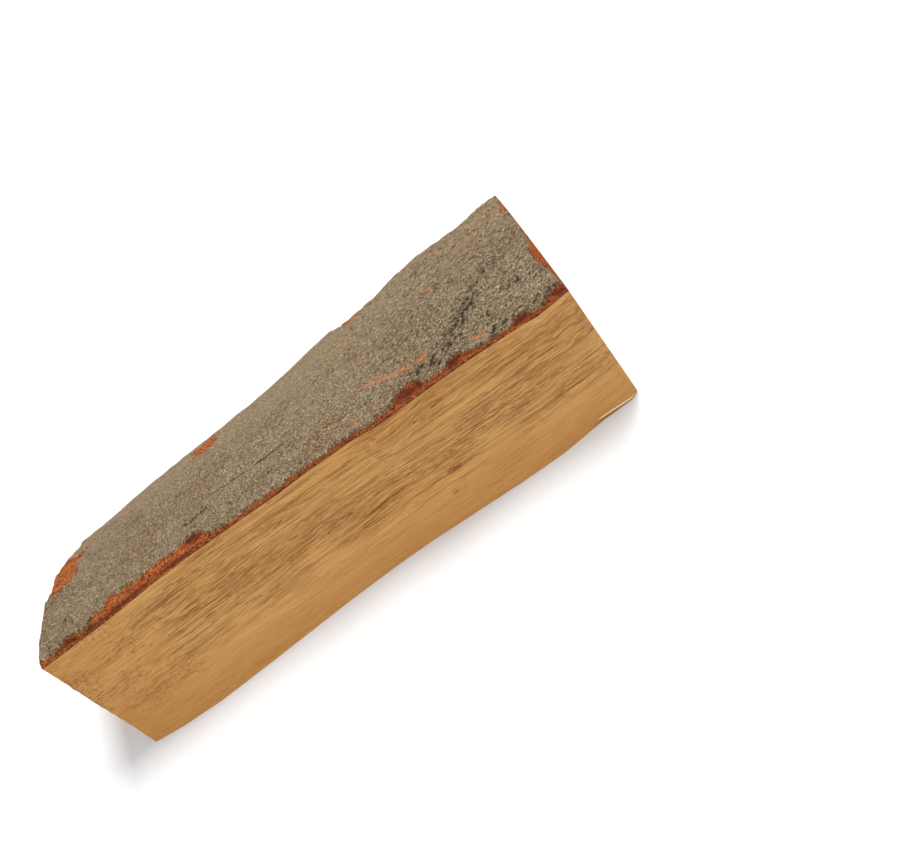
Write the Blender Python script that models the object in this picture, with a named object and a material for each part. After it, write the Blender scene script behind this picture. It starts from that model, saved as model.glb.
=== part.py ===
"""A split log: one billet of firewood, riven from a round trunk, with its bark on.

The log lies along X on one of its two split faces, the way it would be set down by hand.
Seen from the right end (+X), its section has three corners:

    foot   where the two split faces meet, on the side of the pith (low, front)
    ridge  where the front split face meets the bark (high)
    back   where the bark meets the split face that the log lies on (low, back)

The wood is one solid. The bark is a layer of its own, laid over the round side, and it
is torn back along the ridge so that the thin inner bark shows there.
Everything is in metres, +Z up, and the origin is in the middle of the log's footprint.
"""

import math

import bmesh
import bpy
import numpy as np
from mathutils import Matrix

MM = 0.001

# Driving sizes of the log
LENGTH = 330 * MM
HEIGHT = 100 * MM
RIDGE_Y = 48 * MM
ROUND_SIDE_BULGE = 13.4 * MM
BARK_THICK = 4.6 * MM
BARK_TORN_THICK = 1.5 * MM
GAP = 0.35 * MM
BARK_ARC = 138 * MM
HEART = (56 * MM, 42 * MM)
MIDDLE_Y = 67.96 * MM

# How far the ridge leans towards the bark, and the foot towards the front, along the length
RIDGE_BOW = ((0, -1.4), (44, -0.5), (78, 1.3), (98, 1.6), (129, 1.2), (153, 0.5), (172, 0.9), (197, 0.4),
             (212, -1.2), (252, -1.2), (268, -1.5), (282, -2.3), (300, -3.2), (311, -4.3), (324, -3.3),
             (330, -3))
FOOT_BOW = ((0, 0.3), (18, -1.5), (44, -2.4), (80, -1.2), (135, 1), (163, 1.6), (190, 1.4), (225, -0.2),
            (252, -1.4), (278, -1.9), (306, 0.2), (325, 0.4), (330, 2.6))

# Where the bark meets the face that the log lies on: its distance back, along the length
BACK_LINE = ((0, 121), (30, 118), (45, 117.5), (60, 118.5), (110, 122.5), (150, 124.5), (180, 127.3),
             (204, 130.8), (215, 131.8), (240, 133.3), (262, 136.8), (275, 139), (290, 137.8), (300, 138),
             (318, 139.8), (330, 140))

# The left end is sawn a little out of square, and its far corner broke off instead: how far the
# break reaches in, from front to back
SAW_LEAN = 0.012
BREAK_LINE = ((50, 0), (62, 4.2), (71, 8.2), (81, 11.5), (86, 16.5), (94, 18.5), (98, 22.5), (103, 32.5),
              (112, 37), (145, 38))

# Width of the torn band of inner bark along the ridge, and of the chips along the back
TORN_BAND = ((0, 1), (14, 2), (19, 6), (27, 2.5), (34, 2.7), (40, 5.4), (49, 9.8), (57, 6.5), (61, 8), (67, 6.5),
             (80, 6.5), (94, 7), (103, 11.4), (109, 6.5), (114, 1), (222, 1), (229, 5), (235, 8), (240, 7.2),
             (249, 1.2), (259, 1.6), (262, 5.7), (266, 5.7), (273, 2.2), (297, 1), (301, 4.5), (304, 6),
             (309, 2.5), (318, 1), (323, 3.5), (330, 4.6))
BACK_CHIPS = ((0, 3), (30, 4), (42, 17), (56, 16), (70, 5), (120, 3), (141, 9), (150, 4), (196, 3),
              (201, 13), (228, 12), (240, 4), (262, 3), (276, 15), (306, 13), (316, 3), (330, 5))

# How far along the log the skin has chipped off beside the break, from the ridge to the back
BREAK_CHIP = ((0, 1), (38, 2), (42, 22), (46.5, 33), (56, 33), (61, 34), (67, 39), (75, 41), (84, 4), (138, 3))

# Flakes that have come off the skin of the bark: where along the log, how far round from the
# ridge, half length and half width
FLAKES = ((124, 74, 9, 5), (223, 110, 14, 7), (273, 118, 15, 7))

# Long open grooves in the front split face: start and end along the log, the distance
# from the foot at both, width and depth
GROOVES = ((63, 136, 40, 41.4, 2.6, 1.5), (67, 130, 45.2, 45.9, 2.2, 1.0), (146, 246, 50.2, 58.4, 1.8, 0.9))

# Drying checks in the sawn ends, which point at the pith that lies outside the billet: end of
# the log, angle at the pith, distance of the near tip from the pith, length and width
PITH = (-8 * MM, -34 * MM)
CHECKS = ((-1, 50, 54, 62, 1.3), (-1, 64, 68, 56, 1.0), (1, 30, 84, 44, 1.1), (1, 47, 56, 70, 1.5),
          (1, 62, 72, 54, 1.0))
CHECK_DEPTH = 7 * MM

# Mesh density
RINGS = 56
FRONT_POINTS = 28
ROUND_POINTS = 18
REST_POINTS = 16
BARK_COLUMNS = 27
END_RINGS = 3


def smooth(low, high, value):
    """Ease from 0 at low to 1 at high."""
    x = np.clip((value - low) / (high - low), 0.0, 1.0)
    return x * x * (3.0 - 2.0 * x)


def outline(points, along):
    """A hand-set outline in millimetres, read off at places along the log."""
    stations = [p[0] * MM for p in points]
    values = [p[1] * MM for p in points]
    return np.interp(along, stations, values)


def ripples(seed, along, across, long_wave, cross_wave, count=6):
    """Gentle irregular waves about 1 high: a sum of seeded cosines, long along the grain."""
    rng = np.random.default_rng(seed)
    total = np.zeros(np.broadcast(along, across).shape)
    for _ in range(count):
        turn_along = math.tau / long_wave * rng.uniform(0.5, 1.5)
        turn_across = math.tau / cross_wave * rng.uniform(0.5, 1.5) * rng.choice((-1.0, 1.0))
        total += np.cos(along * turn_along + across * turn_across + rng.uniform(0.0, math.tau))
    return total / math.sqrt(count)


def corners(along):
    """Foot, ridge and back corner of the wood at places along the log, as (y, z) pairs."""
    zero = np.zeros_like(along)
    foot = np.stack([outline(FOOT_BOW, along), zero], axis=-1)
    ridge = np.stack([RIDGE_Y + outline(RIDGE_BOW, along), zero + HEIGHT], axis=-1)
    back = np.stack([outline(BACK_LINE, along) - BARK_THICK, zero], axis=-1)
    return foot, ridge, back


def round_side(along, share, lift):
    """The round side under the bark, from ridge (share 0) to back (share 1), raised by lift."""
    _, ridge, back = corners(along)
    chord = back - ridge
    length = np.linalg.norm(chord, axis=-1, keepdims=True)
    outward = np.stack([-chord[..., 1], chord[..., 0]], axis=-1) / length
    share = share[..., None]
    point = ridge + chord * share + outward * ROUND_SIDE_BULGE * 4.0 * share * (1.0 - share)
    tangent = chord + outward * ROUND_SIDE_BULGE * 4.0 * (1.0 - 2.0 * share)
    normal = np.stack([-tangent[..., 1], tangent[..., 0]], axis=-1)
    normal /= np.linalg.norm(normal, axis=-1, keepdims=True)
    return point + normal * lift[..., None]


def front_relief(along, across):
    """Height of the front split face: a slow warp, the torn grain and the long grooves."""
    warp = 0.9 * MM * ripples(11, along, across, 260 * MM, 120 * MM)
    grain = 0.28 * MM * ripples(12, along, across, 420 * MM, 13 * MM, 9)
    height = warp + grain
    for start, end, low, high, width, depth in GROOVES:
        part_way = (along / MM - start) / (end - start)
        centre = low + (high - low) * part_way
        fade = smooth(0.0, 0.15, part_way) * smooth(1.0, 0.85, part_way)
        height -= depth * MM * fade * np.exp(-((across / MM - centre) / width) ** 2)
    return height * smooth(0.0, 7 * MM, across) * smooth(112 * MM, 99 * MM, across)


def rest_relief(along, across, span):
    """Hollows of the split face that the log lies on: never below it, flat over much of it."""
    hollow = ripples(21, along, across, 300 * MM, 70 * MM)
    hollow += 0.5 * ripples(22, along, across, 380 * MM, 16 * MM)
    height = np.clip(1.3 * MM * (hollow - 0.35), 0.0, 2.6 * MM)
    keep_flat = smooth(14 * MM, 34 * MM, np.hypot((along - 0.5 * LENGTH) * 0.5, across - 0.5 * span))
    return height * keep_flat * smooth(0.0, 6 * MM, across) * smooth(0.0, 6 * MM, span - across)


def place_along(q, section):
    """Distance from the left end, for a share q of the way between the two ends of the log.

    The left end is a saw cut that leans with height, and falls away where the corner broke.
    """
    start = SAW_LEAN * section[:, 1] + outline(BREAK_LINE, section[:, 0])
    return start + (LENGTH - start) * q


def wood_section(along, slot):
    """The wood's section: slots run round it, up the front, over the round side, back below."""
    foot, ridge, back = corners(along)
    step = slot.astype(float)
    front_share = np.clip(step / FRONT_POINTS, 0.0, 1.0)
    round_share = np.clip((step - FRONT_POINTS) / ROUND_POINTS, 0.0, 1.0)
    rest_share = np.clip((step - FRONT_POINTS - ROUND_POINTS) / REST_POINTS, 0.0, 1.0)

    front_edge = ridge - foot
    front_length = np.linalg.norm(front_edge, axis=-1)
    front_out = np.stack([-front_edge[..., 1], front_edge[..., 0]], axis=-1) / front_length[..., None]
    across = front_share * front_length
    front = foot + front_edge * front_share[..., None] + front_out * front_relief(along, across)[..., None]

    rounded = round_side(along, round_share, np.zeros_like(along))

    span = back[..., 0] - foot[..., 0]
    across = (1.0 - rest_share) * span
    rest = np.stack([foot[..., 0] + across, rest_relief(along, across, span)], axis=-1)

    on_front = (slot <= FRONT_POINTS)[..., None]
    on_round = (slot <= FRONT_POINTS + ROUND_POINTS)[..., None]
    return np.where(on_front, front, np.where(on_round, rounded, rest))


def prism(slots):
    """A closed prism on end: slots sides, RINGS rings, and END_RINGS rings in each end."""
    bm = bmesh.new()
    bmesh.ops.create_cone(bm, cap_ends=True, segments=slots, radius1=1.0, radius2=1.0, depth=1.0)
    long_edges = [e for e in bm.edges if abs(e.verts[0].co.z - e.verts[1].co.z) > 0.5]
    bmesh.ops.subdivide_edges(bm, edges=long_edges, cuts=RINGS - 2, use_grid_fill=True)
    ends = [f for f in bm.faces if len(f.verts) == slots]
    hubs = bmesh.ops.poke(bm, faces=ends)["verts"]
    spokes = [e for hub in hubs for e in hub.link_edges]
    bmesh.ops.subdivide_edges(bm, edges=spokes, cuts=END_RINGS - 1)
    return bm


def wood_mesh():
    """Shape the prism into the billet: every vertex moves to its place on the formula."""
    slots = FRONT_POINTS + ROUND_POINTS + REST_POINTS
    bm = prism(slots)
    raw = np.array([v.co[:] for v in bm.verts])
    reach = np.clip(np.hypot(raw[:, 0], raw[:, 1]), 0.0, 1.0)
    turn = np.arctan2(raw[:, 0], raw[:, 1]) / math.tau * slots
    slot = np.mod(np.round(turn), slots)
    q = raw[:, 2] + 0.5

    along = LENGTH * q
    for _ in range(4):
        section = wood_section(along, slot)
        section = HEART + (section - HEART) * reach[:, None]
        along = place_along(q, section)

    place = np.column_stack([along - 0.5 * LENGTH, section[:, 0] - MIDDLE_Y, section[:, 1]])
    for vertex, co in zip(bm.verts, place):
        vertex.co = co
    return bm


def bark_columns(share):
    """Spread the bark's columns from ridge to back, closer together at the torn edges."""
    return share - 0.105 * np.sin(math.tau * share)


def bark_relief(along, share):
    """Height of the bark over the wood: plates and fissures, thin where it is torn."""
    arc = BARK_ARC * share
    torn = outline(TORN_BAND, along)
    chips = outline(BACK_CHIPS, along)
    skin = smooth(0.55 * torn, 1.15 * torn, arc) * smooth(0.55 * chips, 1.15 * chips, BARK_ARC - arc)
    skin *= smooth(-2 * MM, 2 * MM, along - outline(BREAK_CHIP, arc))
    for centre_along, centre_arc, half_length, half_width in FLAKES:
        far = np.hypot((along / MM - centre_along) / half_length, (arc / MM - centre_arc) / half_width)
        skin *= smooth(0.7, 1.1, far)
    plates = 0.35 * MM * ripples(31, along, arc, 120 * MM, 60 * MM, 8)
    rough = 0.25 * MM * ripples(32, along, arc, 34 * MM, 17 * MM, 9)
    fissures = -0.9 * MM * smooth(0.9, 1.7, ripples(33, along, arc, 70 * MM, 15 * MM, 7))
    return BARK_TORN_THICK + (BARK_THICK - BARK_TORN_THICK + plates + rough + fissures) * skin


def bark_mesh():
    """Shape a divided slab into the bark: its inner side follows the wood, its outer the relief."""
    bm = bmesh.new()
    bmesh.ops.create_cube(bm, size=1.0)
    lengthways = [e for e in bm.edges if abs(e.verts[0].co.x - e.verts[1].co.x) > 0.5]
    bmesh.ops.subdivide_edges(bm, edges=lengthways, cuts=RINGS - 2, use_grid_fill=True)
    crossways = [e for e in bm.edges if abs(e.verts[0].co.y - e.verts[1].co.y) > 0.5]
    bmesh.ops.subdivide_edges(bm, edges=crossways, cuts=BARK_COLUMNS - 2, use_grid_fill=True)

    raw = np.array([v.co[:] for v in bm.verts])
    q = raw[:, 0] + 0.5
    share = bark_columns(raw[:, 1] + 0.5)
    outer = raw[:, 2] > 0.0
    along = LENGTH * q
    for _ in range(4):
        lift = np.where(outer, GAP + bark_relief(along, share), GAP)
        section = round_side(along, share, lift)
        along = place_along(q, section)

    place = np.column_stack([along - 0.5 * LENGTH, section[:, 0] - MIDDLE_Y, section[:, 1]])
    for vertex, co in zip(bm.verts, place):
        vertex.co = co
    return bm


def material(name, colour, roughness):
    """A plain Principled material."""
    mat = bpy.data.materials.new(name)
    mat.use_nodes = True
    shader = mat.node_tree.nodes["Principled BSDF"]
    shader.inputs["Base Color"].default_value = (*colour, 1.0)
    shader.inputs["Roughness"].default_value = roughness
    shader.inputs["Metallic"].default_value = 0.0
    return mat


def add_object(name, bm, mat, collection):
    """Turn a worked mesh into an object of its own, with its faces pointing out."""
    bmesh.ops.triangulate(bm, faces=bm.faces)
    bmesh.ops.recalc_face_normals(bm, faces=bm.faces)
    mesh = bpy.data.meshes.new(name)
    bm.to_mesh(mesh)
    bm.free()
    mesh.shade_smooth()
    mesh.set_sharp_from_angle(angle=math.radians(32))
    mesh.materials.append(mat)
    obj = bpy.data.objects.new(name, mesh)
    collection.objects.link(obj)
    return obj


def cut_checks(wood, cutters):
    """Open the drying checks in the sawn ends: thin slits that point at the pith."""
    for number, (side, angle, start, length, width) in enumerate(CHECKS):
        bpy.ops.mesh.primitive_cube_add(size=1.0)
        cutter = bpy.context.object
        cutter.name = f"check_cutter_{number + 1}"
        cutter.data.transform(Matrix.Diagonal((2.0 * CHECK_DEPTH, length * MM, width * MM, 1.0)))
        heading = math.radians(angle)
        reach = (start + 0.5 * length) * MM
        centre_y = PITH[0] + reach * math.cos(heading) - MIDDLE_Y
        centre_z = PITH[1] + reach * math.sin(heading)
        cutter.location = (side * 0.5 * LENGTH, centre_y, centre_z)
        cutter.rotation_euler = (heading, 0.0, 0.0)
        cutter.hide_render = True
        cutter.display_type = "WIRE"
        for home in list(cutter.users_collection):
            home.objects.unlink(cutter)
        cutters.objects.link(cutter)
        cut = wood.modifiers.new(cutter.name, "BOOLEAN")
        cut.operation = "DIFFERENCE"
        cut.solver = "EXACT"
        cut.object = cutter


def main():
    """Build the wood and its bark."""
    for obj in list(bpy.data.objects):
        bpy.data.objects.remove(obj, do_unlink=True)
    parts = bpy.data.collections.new("split_log")
    cutters = bpy.data.collections.new("split_log_cutters")
    bpy.context.scene.collection.children.link(parts)
    bpy.context.scene.collection.children.link(cutters)

    wood = add_object("wood", wood_mesh(), material("split_wood", (0.48, 0.26, 0.10), 0.7), parts)
    add_object("bark", bark_mesh(), material("bark", (0.21, 0.17, 0.12), 0.9), parts)
    cut_checks(wood, cutters)


main()
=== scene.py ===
"""Looks of a split log: riven wood, sawn ends and rough bark, laid on a pale floor.

The log lies along X. A place on it is given by its distance from the left end, called
along, and by how far it is round the section: across, up the front split face from its
foot, or arc, over the bark from the ridge. Both are worked out in metres.
"""

import enum
import logging
import math
from dataclasses import dataclass, field

import bpy
import numpy as np
from mathutils import Matrix, Vector

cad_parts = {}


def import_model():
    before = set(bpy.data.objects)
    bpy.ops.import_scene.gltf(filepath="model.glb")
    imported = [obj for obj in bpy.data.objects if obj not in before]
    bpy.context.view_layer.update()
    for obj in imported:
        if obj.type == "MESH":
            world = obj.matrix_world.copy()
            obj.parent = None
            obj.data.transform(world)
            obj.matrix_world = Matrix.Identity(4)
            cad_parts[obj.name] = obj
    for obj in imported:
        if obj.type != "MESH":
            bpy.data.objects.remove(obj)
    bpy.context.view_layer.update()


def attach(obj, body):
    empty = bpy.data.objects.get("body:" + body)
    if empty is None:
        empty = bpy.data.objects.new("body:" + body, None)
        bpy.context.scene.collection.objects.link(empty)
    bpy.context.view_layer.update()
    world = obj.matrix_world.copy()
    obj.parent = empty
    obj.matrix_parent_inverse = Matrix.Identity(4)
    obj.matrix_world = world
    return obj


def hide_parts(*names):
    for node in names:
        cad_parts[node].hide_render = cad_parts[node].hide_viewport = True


MM = 0.001
LOG = logging.getLogger("split_log")

Points = tuple[tuple[float, ...], ...]
Pair = tuple[float, float]
Triple = tuple[float, float, float]
Colour = Triple

# Length up the front face for each unit of height: the face leans towards the back.
FACE_PER_HEIGHT = 1.11
# How far the bark's fibres turn round the log for each unit along it.
FIBRE_SKEW = 0.27
# Edges of the wood that bend more than this stay sharp.
WOOD_SHARP = 40.0


def smooth(low: float, high: float, value: np.ndarray) -> np.ndarray:
    """Ease from 0 at low to 1 at high: three times the square less twice the cube."""
    x = np.clip((value - low) / (high - low), 0.0, 1.0)
    return x * x * (3.0 - 2.0 * x)


def outline(points: Points, along: np.ndarray) -> np.ndarray:
    """Read a listed outline, given in millimetres, at places along the log.

    Args:
        points: pairs of place and value, in millimetres.
        along: place along the log.

    Returns:
        The values in metres.
    """
    stations = [p[0] * MM for p in points]
    values = [p[1] * MM for p in points]
    return np.interp(along, stations, values)


def ripples(seed: int, along: np.ndarray, across: np.ndarray, long_wave: float, cross_wave: float,
            count: int = 6) -> np.ndarray:
    """Gentle irregular waves: a sum of seeded cosines over the root of their number.

    Args:
        seed: picks the waves.
        along: place along the log.
        across: place across the grain.
        long_wave: middle wavelength along the grain.
        cross_wave: middle wavelength across it.
        count: number of waves.

    Returns:
        Heights of about 1, in the shape of the places.
    """
    rng = np.random.default_rng(seed)
    total = np.zeros(np.broadcast(along, across).shape)
    for _ in range(count):
        turn_along = math.tau / long_wave * rng.uniform(0.5, 1.5)
        turn_across = math.tau / cross_wave * rng.uniform(0.5, 1.5) * rng.choice((-1.0, 1.0))
        total += np.cos(along * turn_along + across * turn_across + rng.uniform(0.0, math.tau))
    return total / math.sqrt(count)


class Grit:
    """Seeded irregular relief: random heights on a square net, eased between its knots."""

    NET = 512

    def __init__(self, seed: int) -> None:
        """Draw the heights at the knots."""
        self.knots = np.random.default_rng(seed).uniform(-1.0, 1.0, (self.NET, self.NET))

    def at(self, u: np.ndarray, v: np.ndarray) -> np.ndarray:
        """Heights from -1 to 1 where u and v count knots: a blend of the four knots round a place.

        Args:
            u: place one way.
            v: place the other way.

        Returns:
            The heights, in the shape of the places.
        """
        base_u, base_v = np.floor(u).astype(int), np.floor(v).astype(int)
        part_u, part_v = u - base_u, v - base_v
        ease_u = part_u * part_u * (3.0 - 2.0 * part_u)
        ease_v = part_v * part_v * (3.0 - 2.0 * part_v)
        near_u, near_v = base_u % self.NET, base_v % self.NET
        far_u, far_v = (base_u + 1) % self.NET, (base_v + 1) % self.NET
        low = self.knots[near_u, near_v] * (1.0 - ease_v) + self.knots[near_u, far_v] * ease_v
        high = self.knots[far_u, near_v] * (1.0 - ease_v) + self.knots[far_u, far_v] * ease_v
        return low * (1.0 - ease_u) + high * ease_u

    def layers(self, u: np.ndarray, v: np.ndarray, count: int, keep: float = 0.5) -> np.ndarray:
        """Sum of ever finer nets, each twice as fine as the last and keep times as high.

        Args:
            u: place one way, in knots.
            v: place the other way, in knots.
            count: number of nets.
            keep: height of a net beside the one before it.

        Returns:
            The heights, in the shape of the places.
        """
        total, height = 0.0, 1.0
        for layer in range(count):
            scale = 2.0 ** layer
            total = total + height * self.at(u * scale + 17.3 * layer, v * scale + 41.7 * layer)
            height *= keep
        return total


@dataclass(frozen=True)
class LogForm:
    """The log's sizes, the same as the solids', and the formulas that give its section."""

    length: float = 330 * MM
    height: float = 100 * MM
    ridge_y: float = 48 * MM
    bulge: float = 13.4 * MM
    bark_thick: float = 4.6 * MM
    torn_thick: float = 1.5 * MM
    gap: float = 0.35 * MM
    bark_arc: float = 138 * MM
    heart: Pair = (56 * MM, 42 * MM)
    pith: Pair = (-8 * MM, -34 * MM)
    middle_y: float = 67.96 * MM
    saw_lean: float = 0.012
    break_line: Points = (
        (50, 0), (62, 4.2), (71, 8.2), (81, 11.5), (86, 16.5), (94, 18.5), (98, 22.5), (103, 32.5), (112, 37),
        (145, 38),
    )
    ridge_bow: Points = (
        (0, -1.4), (44, -0.5), (78, 1.3), (98, 1.6), (129, 1.2), (153, 0.5), (172, 0.9), (197, 0.4),
        (212, -1.2), (252, -1.2), (268, -1.5), (282, -2.3), (300, -3.2), (311, -4.3), (324, -3.3), (330, -3),
    )
    foot_bow: Points = (
        (0, 0.3), (18, -1.5), (44, -2.4), (80, -1.2), (135, 1), (163, 1.6), (190, 1.4), (225, -0.2),
        (252, -1.4), (278, -1.9), (306, 0.2), (325, 0.4), (330, 2.6),
    )
    back_line: Points = (
        (0, 121), (30, 118), (45, 117.5), (60, 118.5), (110, 122.5), (150, 124.5), (180, 127.3), (204, 130.8),
        (215, 131.8), (240, 133.3), (262, 136.8), (275, 139), (290, 137.8), (300, 138), (318, 139.8),
        (330, 140),
    )

    def corners(self, along: np.ndarray) -> tuple[np.ndarray, np.ndarray, np.ndarray]:
        """Foot, ridge and back corner of the wood at places along the log, as (y, z) pairs.

        Args:
            along: place along the log.

        Returns:
            The three corners, with y and z last.
        """
        zero = np.zeros_like(along)
        foot = np.stack([outline(self.foot_bow, along), zero], axis=-1)
        ridge = np.stack([self.ridge_y + outline(self.ridge_bow, along), zero + self.height], axis=-1)
        back = np.stack([outline(self.back_line, along) - self.bark_thick, zero], axis=-1)
        return foot, ridge, back

    def round_side(self, along: np.ndarray, share: np.ndarray, lift: np.ndarray) -> np.ndarray:
        """A bow over the chord from ridge (share 0) to back (share 1), raised by lift along its normal.

        Args:
            along: place along the log.
            share: share of the way from the ridge to the back.
            lift: height over the bow.

        Returns:
            The section's (y, z) places.
        """
        _, ridge, back = self.corners(along)
        chord = back - ridge
        length = np.linalg.norm(chord, axis=-1, keepdims=True)
        outward = np.stack([-chord[..., 1], chord[..., 0]], axis=-1) / length
        share = share[..., None]
        point = ridge + chord * share + outward * self.bulge * 4.0 * share * (1.0 - share)
        tangent = chord + outward * self.bulge * 4.0 * (1.0 - 2.0 * share)
        normal = np.stack([-tangent[..., 1], tangent[..., 0]], axis=-1)
        normal /= np.linalg.norm(normal, axis=-1, keepdims=True)
        return point + normal * lift[..., None]

    def place_along(self, q: np.ndarray, section: np.ndarray) -> np.ndarray:
        """Distance from the left end at a share q of the way: the left end leans and is broken at the back."""
        start = self.saw_lean * section[..., 1] + outline(self.break_line, section[..., 0])
        return start + (self.length - start) * q

    def to_world(self, along: np.ndarray, section: np.ndarray) -> np.ndarray:
        """Places in the part's own frame, whose origin is in the middle of the footprint."""
        return np.stack([along - 0.5 * self.length, section[..., 0] - self.middle_y, section[..., 1]], axis=-1)


def net_quads(number: np.ndarray) -> np.ndarray:
    """Faces of a net of vertex numbers that closes round its columns: the four corners of each cell."""
    turned = np.roll(number, -1, axis=1)
    return np.stack([number[:-1], number[1:], turned[1:], turned[:-1]], axis=-1).reshape(-1, 4)


def shade(mesh: bpy.types.Mesh, sharp_degrees: float) -> None:
    """Shade a mesh smooth, but keep the edges sharp that bend more than some degrees."""
    mesh.shade_smooth()
    mesh.set_sharp_from_angle(angle=math.radians(sharp_degrees))


def make_object(name: str, vertices: np.ndarray, quads: np.ndarray, triangles: np.ndarray,
                sharp_degrees: float) -> bpy.types.Object:
    """Turn arrays into a smooth-shaded object at the origin.

    Args:
        name: the object's name.
        vertices: places, one row each.
        quads: rows of four vertex numbers.
        triangles: rows of three vertex numbers.
        sharp_degrees: edges that bend more than this stay sharp.

    Returns:
        The object, linked to the scene, with its faces outward.
    """
    first, second, third = (vertices[triangles[:, k]] for k in range(3))
    volume = np.einsum("ij,ij->i", first, np.cross(second, third)).sum()
    for b, c in ((1, 2), (2, 3)):
        turned = np.cross(vertices[quads[:, b]], vertices[quads[:, c]])
        volume += np.einsum("ij,ij->i", vertices[quads[:, 0]], turned).sum()
    if volume < 0.0:
        quads, triangles = quads[:, ::-1], triangles[:, ::-1]
    mesh = bpy.data.meshes.new(name)
    mesh.from_pydata(vertices.tolist(), [], quads.tolist() + triangles.tolist())
    mesh.update()
    shade(mesh, sharp_degrees)
    obj = bpy.data.objects.new(name, mesh)
    bpy.context.scene.collection.objects.link(obj)
    return obj


def set_attribute(obj: bpy.types.Object, name: str, values: np.ndarray) -> None:
    """Keep one number a vertex on the mesh, for the material to read."""
    layer = obj.data.attributes.new(name, "FLOAT", "POINT")
    layer.data.foreach_set("value", values.astype(np.float32).ravel())


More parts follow.
